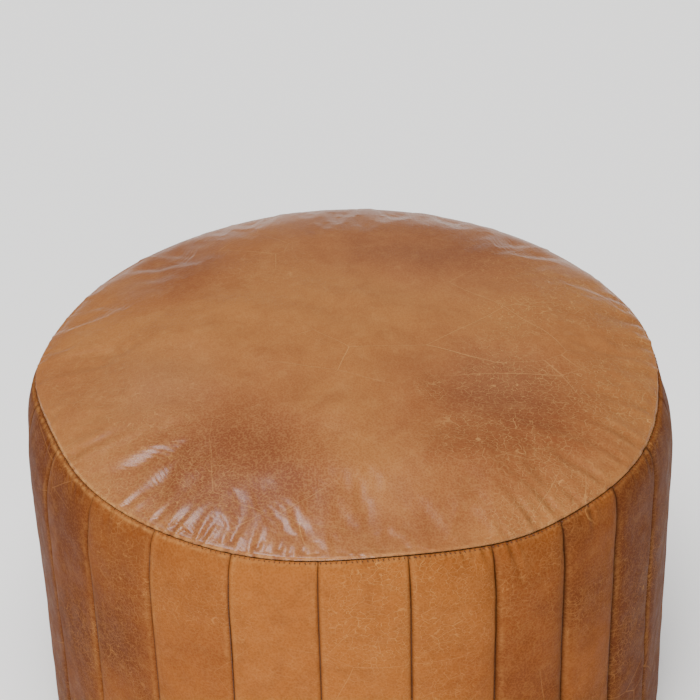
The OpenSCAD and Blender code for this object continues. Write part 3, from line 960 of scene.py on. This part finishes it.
def panel_push(k, place, angle, x, v, settled):
    """How far a panel's face stands out from the plain wall, and how deep its puckers are."""
    width = panel_width(k)
    share = x / width
    left = seam_depth(k) * np.exp(-x / seam_spread(k))
    right = seam_depth(k + 1) * np.exp(-(width - x) / seam_spread(k + 1))
    ease = (0.35 + 0.65 * smooth(v, 0, 30 * MM)) * smooth(v, 0, 3 * MM)
    crown_shape = np.clip(1 - (2 * share - 1) ** 2, 0, 1) ** 0.75
    pillow = (0.4 if settled is not None else 1.6) * MM * crown_shape * smooth(v, 0, 25 * MM)
    shake = MM * (0.4 * ripples(place * [1, 1, 0.45], 0.07, 41)
                  + 0.15 * ripples(place, 0.025, 42)) * smooth(v, 4 * MM, 30 * MM)
    puckers = PANEL_PUCKERS + scattered_puckers(110, 6, (5, 16), (1.0, 2.0), (0.15, 0.6))
    pinch = pucker_depth(angle, v, puckers, SEAM_R)
    turns = np.radians(angle) * SEAM_R / STITCH * 2 * np.pi
    gather = 0.16 * MM * (1 - np.cos(turns)) * np.exp(-((v - 2 * MM) / (3 * MM)) ** 2)
    tuck = 1.0 * MM * smooth(v, 0, 1.5 * MM) * np.exp(-v / (1.6 * MM)) * seam_grip(angle)
    tuck += hollow(angle) * smooth(v, 0, 12 * MM) * (1 - smooth(v, 22 * MM, 80 * MM))
    push = pillow + shake - pinch - tuck + gather - (left + right) * ease
    push = push + (0 if settled is None else settled)
    return push * smooth(place[:, 2], HEM_Z, HEM_Z + HEM_CORNER), pinch  # the hem lies flat


def panel_piece(k, profile, simulated):
    """Side panel k, from the crown seam to the hem, with its edges turned in at both seams."""
    along = profile[2]
    width = panel_width(k)
    edge = np.array([0, 0.25, 0.6, 1.0, 1.6, 2.4, 3.4, 4.6]) * MM
    across = np.concatenate([edge, np.linspace(5.8 * MM, width - 5.8 * MM, 60), width - edge[::-1]])
    place, away, angle, x, v = panel_grid(k, across, profile)
    rows, columns = len(along), len(across)
    down = between(along[SIM_ROWS], along)
    over = between(np.linspace(0, 1, SIM_COLUMNS), across / width)
    settled = (down @ simulated[k - 1] @ over.T).ravel()
    push, pinch = panel_push(k, place, angle, x, v, settled)
    points = place + away * push[:, None] + shoulder_shift(v, angle)

    inset = np.minimum(x, width - x)
    seam_shade_k = np.where(x < width / 2, panel_seam_shade(k), panel_seam_shade(k + 1))
    # painted shade: darker along the bottom of each seam, in pucker valleys, in a broad soft band
    # beside the deep seams at the right, and along the crown seam
    crease = seam_shade_k * np.exp(-inset / (0.7 * MM)) + np.clip(pinch / (6 * MM), 0, 0.2)
    crease += 0.28 * bump_at(angle, FRONT + 42, 26) * np.exp(-inset / (3.2 * MM))
    crease += seam_shade(angle) * np.exp(-v / (0.4 * MM))
    wear = 0.3 * np.exp(-((inset - 3 * MM) / (1.6 * MM)) ** 2)
    wear *= 0.6 + 0.4 * ripples(place, 0.05, 51)
    wear += worn_rim(angle) * np.exp(-((v - 2.5 * MM) / (1.6 * MM)) ** 2)
    # painted shade: the panels darken towards the sides, where less light falls, on top of the
    # hide's own colour
    tone = PANEL_TONES_AND_SHADE.get(k, 0.35 * math.sin(7.3 * k)) + 0.12 * ripples(place, 0.12, 60 + k)
    lined = 0.25 + 0.3 * ripples(place, 0.12, 71)

    # the edges turned in at each seam: two more columns on either side
    grid = points.reshape(rows, columns, 3)
    deep = (place - away * ALLOWANCE + shoulder_shift(v, angle)).reshape(rows, columns, 3)
    halfway = (grid + deep) / 2
    full = np.stack([deep[:, 0], halfway[:, 0], *grid.transpose(1, 0, 2),
                     halfway[:, -1], deep[:, -1]], 1)

    def widened(values):
        table = np.clip(values, -1, 1).reshape(rows, columns)
        return np.concatenate([table[:, :1]] * 2 + [table] + [table[:, -1:]] * 2, 1).ravel()

    attributes = {"tone": tone, "wear": np.clip(wear, 0, 1), "crease": crease,
                  "lined": np.clip(lined, 0, 1), "pebbled": np.full(len(x), 0.35),
                  "bloom": np.zeros(len(x))}
    piece = make_piece(f"panel_{k:02d}", full.reshape(-1, 3), grid_faces(rows, columns + 4),
                       PANEL_LEATHER, {key: widened(values) for key, values in attributes.items()})
    thicken(piece, LEATHER)
    stand_in(f"side_panel_{k:02d}")


def side_padding(profile, simulated):
    """The foam sheet round the drum, slit for the panels' turned-in edges."""
    along = profile[2]
    rows = np.arange(12, 80, 3)
    slit, depth = 2.1 * MM, ALLOWANCE + 0.8 * MM
    rings, angles = [], []
    for k in range(1, PANELS + 1):
        width = panel_width(k)
        across = np.concatenate([[0, slit - 0.1 * MM], np.linspace(slit, width - slit, 12),
                                 [width - slit + 0.1 * MM, width]])
        place, away, angle, x, v = panel_grid(k, across, profile, rows)
        settled = None
        down = between(along[SIM_ROWS], along[rows])
        over = between(np.linspace(0, 1, SIM_COLUMNS), across / width)
        settled = (down @ simulated[k - 1] @ over.T).ravel()
        push, _ = panel_push(k, place, angle, x, v, settled)
        in_slit = (x < slit) | (x > width - slit)
        push = np.where(in_slit, -depth, push - LEATHER - 0.3 * MM - 0.3 * hollow(angle))
        points = place + away * push[:, None] + shoulder_shift(v, angle)
        rings.append(points.reshape(len(rows), len(across), 3))
        angles.append(angle[:len(across)])
    outer = np.concatenate(rings, 1)
    angles = np.concatenate(angles)
    count = len(angles)
    inner_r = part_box("drum_wall")[1][0] + 0.5 * MM
    board_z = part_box("seat_board")[1][2] + 0.5 * MM
    low = polar(np.full(count, inner_r), angles, outer[-1, :, 2])
    over_board = polar(np.full(count, inner_r), angles, np.full(count, board_z))
    top_r = inner_r + lean_in(angles) - 1.4 * hollow(angles)  # inside the leather's flat stretch
    top = polar(top_r, angles, np.full(count, outer[0, :, 2].min()))
    every = np.concatenate([outer, low[None], over_board[None], top[None]])
    index = np.arange(every.shape[0] * count).reshape(-1, count)
    loops = [*index, index[0]]
    faces = [np.stack([a, b, np.roll(b, -1), np.roll(a, -1)], 1) for a, b in zip(loops, loops[1:])]
    foam = make_piece("side_padding", every.reshape(-1, 3), np.concatenate(faces), SIDE_FOAM)
    stand_in("side_foam")


# Stitches --------------------------------------------------------------------------------


def capsules(starts, ends, radius, sides=6):
    """Round-ended short threads between pairs of points, as one mesh's points and faces."""
    rings = [(-0.9, 0.35), (-0.4, 0.85), (0.3, 1.0)]
    points, faces = [], []
    for a, b in zip(starts, ends):
        axis = (b - a) / np.linalg.norm(b - a)
        one = np.cross(axis, (0.3, 0.5, 0.8))
        one /= np.linalg.norm(one)
        two = np.cross(axis, one)
        base = len(points)
        stations = [(a + axis * radius * t, radius * r) for t, r in rings]
        stations += [(b - axis * radius * t, radius * r) for t, r in rings[::-1]]
        for centre, r in stations:
            for i in range(sides):
                turn = 2 * math.pi * i / sides
                points.append(centre + r * (math.cos(turn) * one + math.sin(turn) * two))
        count = len(stations)
        for j in range(count - 1):
            for i in range(sides):
                n = (i + 1) % sides
                faces.append((base + j * sides + i, base + j * sides + n,
                              base + (j + 1) * sides + n, base + (j + 1) * sides + i))
        faces.append(tuple(base + i for i in reversed(range(sides))))
        faces.append(tuple(base + (count - 1) * sides + i for i in range(sides)))
    return points, faces


def crown_stitches():
    """The row of stitches along the crown seam, each a short slanting bar."""
    count = round(2 * math.pi * SEAM_R / STITCH)
    angle = np.arange(count) * 360 / count
    rng = np.random.default_rng(8)
    slant = np.degrees(0.5 * MM / SEAM_R) * (1 + 0.4 * rng.normal(size=count))
    lift = SEAM_Z + seam_lift(angle)
    radius = SEAM_R + seam_out(angle) + lean_in(angle)
    reach = MM * (0.8 + 1.3 * bump_at(angle, FRONT + 8, 30))
    inner = polar(radius - 0.6 * MM, angle - slant, lift - 0.7 * MM)
    outer = polar(radius + reach, angle + slant, lift - 0.5 * MM)
    points, faces = capsules(inner, outer, 0.36 * MM)
    piece = make_piece("crown_seam_stitches", points, faces, THREAD)
    stand_in("crown_seam_thread")


def panel_stitches(profile):
    """The stitches between the panels, end to end down the bottom of each seam."""
    line, normal, along = profile
    starts, ends = [], []
    for k in range(1, PANELS + 1):
        depth = seam_depth(k)
        for d in np.arange(6 * MM, along[-1] - 60 * MM, STITCH):
            both = np.array([d, d + STITCH * 0.72])
            radius, height = (np.interp(both, along, line[:, i] - normal[:, i] * depth)
                              for i in (0, 1))
            place = np.full(2, seam_angle(k))
            start, end = polar(radius, place, height) + shoulder_shift(both, place)
            starts.append(start)
            ends.append(end)
    points, faces = capsules(starts, ends, 0.24 * MM)
    piece = make_piece("panel_seam_stitches", points, faces, THREAD)
    stand_in("panel_seam_threads")


# Underneath ------------------------------------------------------------------------------


def dust_cloth():
    """The black cloth under the base: stapled round its edge, slack in the middle."""
    rings = 80
    ring, angle, faces = disc_grid(rings)
    share = ring / rings
    radius = COVER_R * share
    flat = polar(radius, angle, np.zeros(len(radius)))
    staples = np.radians(angle * 24 + 180)
    edge = np.exp(-((radius - (COVER_R - 6 * MM)) / (12 * MM)) ** 2)
    inner = 1 - smooth(radius, 0.15, 0.19)  # clear of the floor glides
    slack = 1.6 * MM * inner * (1 - (radius / 0.19) ** 2)
    waves = 0.5 * MM * np.abs(ripples(flat * [1, 1, 0], 0.07, 91)) * inner
    pulls = 0.12 * MM * edge * (1 + np.cos(staples)) / 2
    z = COVER_HIGH[2] - 0.25 * MM + pulls - slack - waves
    piece = make_piece("dust_cloth", polar(radius, angle, z), faces, DUST_CLOTH)
    thicken(piece, 0.3 * MM)
    stand_in("dust_cover")


def dress(names, material):
    """Gives CAD nodes their material."""
    for name in names:
        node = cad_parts[name]
        if not node.material_slots:
            node.data.materials.append(material)
        for slot in node.material_slots:
            slot.material = material


# Build -----------------------------------------------------------------------------------

add_camera()
add_studio()
PROFILE = side_profile()
SIMULATED = simulated_panels(PROFILE)
seat_layers(crown_piece())
for number in range(1, PANELS + 1):
    panel_piece(number, PROFILE, SIMULATED)
side_padding(PROFILE, SIMULATED)
crown_stitches()
panel_stitches(PROFILE)
dust_cloth()

dress(["seat_board", "base_board"], PLYWOOD)
dress(["drum_wall"], BENT_PLYWOOD)
dress([f"upright_{number}" for number in range(1, 9)], SOFTWOOD)
dress(["seat_board_screws", "base_board_screws", "glide_nails"], ZINC_STEEL)
dress(["drum_wall_staples", "hem_staples", "dust_cover_staples"], STAPLE_WIRE)
dress([f"glide_{number}" for number in range(1, 5)], GLIDE_PLASTIC)
